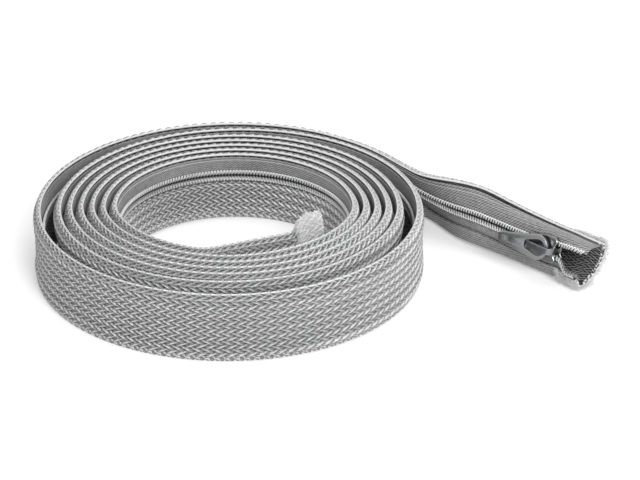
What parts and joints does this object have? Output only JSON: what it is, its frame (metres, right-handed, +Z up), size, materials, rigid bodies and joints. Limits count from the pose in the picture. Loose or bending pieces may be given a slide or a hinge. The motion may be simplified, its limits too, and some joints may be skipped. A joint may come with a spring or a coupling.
{
  "type": "zippered cable sleeve",
  "caption": "Flat braided cable sleeve with a full-length coil zip, rolled up on its edge as a loose spiral, its open end puffed into a short tail with the slider near the mouth.",
  "frame": {"origin": "on the floor under the middle of the footprint of coil and tail", "axes": "+X along the straight tail towards its open mouth, +Z up along the coil's axis, across the flattened tube"},
  "size_m": [0.1752, 0.1528, 0.031],
  "materials": {
    "braid": "woven grey plastic fibre, slight sheen",
    "tape": "matt woven grey tape",
    "coil": "grey plastic filament, slight sheen",
    "metal": "satin grey coated zinc casting",
    "binding": "light grey fuzzy edge binding"
  },
  "bodies": {
    "sleeve": {"braided_sleeve": "braid", "zip_tape_upper": "tape", "zip_tape_lower": "tape", "zip_coil_upper": "coil", "zip_coil_lower": "coil", "mouth_binding": "binding", "inner_end_binding": "binding"},
    "slider": {"slider_body": "metal"},
    "pull": {"pull_tab": "metal"}
  },
  "joints": [
    {"name": "slider_slide", "type": "slide", "parent": "sleeve", "child": "slider", "axis": [-1, 0, 0], "range_m": [0, 0.022], "deforming": ["zip_coil_upper", "zip_coil_lower"]},
    {"name": "pull_hinge", "type": "hinge", "parent": "slider", "child": "pull", "pos_m": [0.07113, 0.06056, 0.01398], "axis": [0, 0.2419, 0.9703], "range_deg": [-12, 150]}
  ]
}
